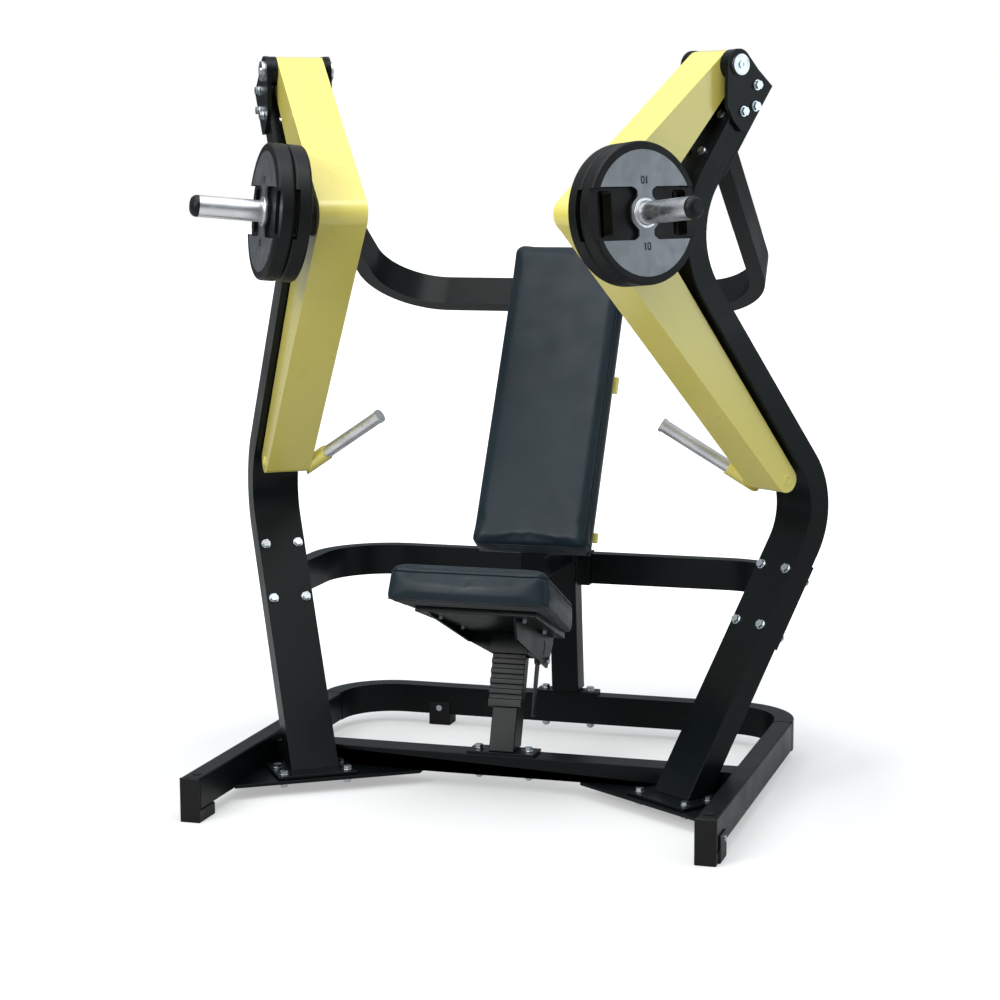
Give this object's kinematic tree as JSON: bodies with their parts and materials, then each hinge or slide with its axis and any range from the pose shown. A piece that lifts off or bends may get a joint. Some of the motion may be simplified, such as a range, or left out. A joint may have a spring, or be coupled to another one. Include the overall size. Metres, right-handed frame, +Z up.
{
  "type": "chest press machine",
  "caption": "plate-loaded seated chest press machine with two pivoting converging arms, weight plates on horns, an adjustable seat and a reclined backrest",
  "frame": {"origin": "bottom centre of the machine's bounding box, on the floor", "axes": "+Z up, the user sits facing -Y, +X is the user's left, at the right when seen from the front"},
  "size_m": [1.522, 1.2185, 1.787],
  "materials": {
    "black_steel": "satin black powder coat",
    "yellow_steel": "satin pale yellow powder coat",
    "zinc": "bright zinc plated fasteners",
    "silver_steel": "polished plated steel",
    "light_steel": "satin machined steel",
    "knurled_steel": "knurled plated steel",
    "plate_rubber": "moulded rubber",
    "plate_steel": "brushed satin steel",
    "pad_vinyl": "dark slate grained vinyl",
    "black_plastic": "matt black moulding",
    "black_rubber": "matt rubber"
  },
  "bodies": {
    "frame": {"side_rails": "black_steel", "rail_plugs": "black_plastic", "rear_bow": "black_steel", "front_feet": "black_plastic", "rear_feet": "black_plastic", "foot_screws": "zinc", "right_upright": "black_steel", "left_upright": "black_steel", "front_cross_member": "black_steel", "gussets": "black_steel", "pivot_spacers": "black_steel", "pivot_shafts": "zinc", "pivot_collars": "light_steel", "arm_bumpers": "black_rubber", "upper_loop": "black_steel", "mid_tubes": "black_steel", "column_brackets": "black_steel", "rear_column": "black_steel", "back_beam": "black_steel", "seat_post": "black_steel", "post_rack": "black_steel", "back_pad": "pad_vinyl", "back_board": "black_plastic", "back_spine": "black_steel", "back_mount": "black_steel", "back_tabs": "yellow_steel", "frame_bolts": "zinc", "foot_plates": "black_steel", "pivot_plates": "black_steel", "joint_plates": "black_steel"},
    "seat": {"seat_sleeve": "black_steel", "seat_bracket": "black_steel", "seat_plate": "black_steel", "lever_pin": "zinc", "seat_board": "black_plastic", "seat_pad": "pad_vinyl", "seat_bolts": "zinc"},
    "lever": {"seat_lever": "black_steel", "lever_knob": "black_plastic"},
    "right_arm_body": {"right_arm": "yellow_steel", "right_pivot_hub": "black_steel", "right_horn": "silver_steel", "right_horn_collar": "black_rubber", "right_horn_cap": "black_plastic", "right_grip": "knurled_steel"},
    "right_inner_plate": {"right_inner_plate_rubber": "plate_rubber", "right_inner_plate_steel": "plate_steel"},
    "right_outer_plate": {"right_outer_plate_rubber": "plate_rubber", "right_outer_plate_steel": "plate_steel"},
    "left_arm_body": {"left_arm": "yellow_steel", "left_pivot_hub": "black_steel", "left_horn": "silver_steel", "left_horn_collar": "black_rubber", "left_horn_cap": "black_plastic", "left_grip": "knurled_steel"},
    "left_inner_plate": {"left_inner_plate_rubber": "plate_rubber", "left_inner_plate_steel": "plate_steel"},
    "left_outer_plate": {"left_outer_plate_rubber": "plate_rubber", "left_outer_plate_steel": "plate_steel"}
  },
  "joints": [
    {"name": "right_arm_hinge", "type": "hinge", "parent": "frame", "child": "right_arm_body", "pos_m": [0.51809, -0.09497, 1.751], "axis": [-0.8192, 0.5736, 0], "range_deg": [0, 20]},
    {"name": "right_inner_plate_slide", "type": "slide", "parent": "right_arm_body", "child": "right_inner_plate", "axis": [0.8157, -0.5711, 0.0924], "range_m": [0, 0.24]},
    {"name": "right_outer_plate_slide", "type": "slide", "parent": "right_inner_plate", "child": "right_outer_plate", "axis": [0.8157, -0.5711, 0.0924], "range_m": [0, 0.2]},
    {"name": "left_arm_hinge", "type": "hinge", "parent": "frame", "child": "left_arm_body", "pos_m": [-0.51809, -0.09497, 1.751], "axis": [-0.8192, -0.5736, 0], "range_deg": [0, 20]},
    {"name": "left_inner_plate_slide", "type": "slide", "parent": "left_arm_body", "child": "left_inner_plate", "axis": [-0.8157, -0.5711, 0.0924], "range_m": [0, 0.24]},
    {"name": "left_outer_plate_slide", "type": "slide", "parent": "left_inner_plate", "child": "left_outer_plate", "axis": [-0.8157, -0.5711, 0.0924], "range_m": [0, 0.2]},
    {"name": "seat_height", "type": "slide", "parent": "frame", "child": "seat", "axis": [0, 0.3272, 0.9449], "range_m": [0, 0.06]},
    {"name": "seat_lever_hinge", "type": "hinge", "parent": "seat", "child": "lever", "pos_m": [0.074, -0.03683, 0.31668], "axis": [-1, 0, 0], "range_deg": [0, 20], "stiffness_Nm_per_rad": 0.6, "springref_deg": -17.19}
  ]
}
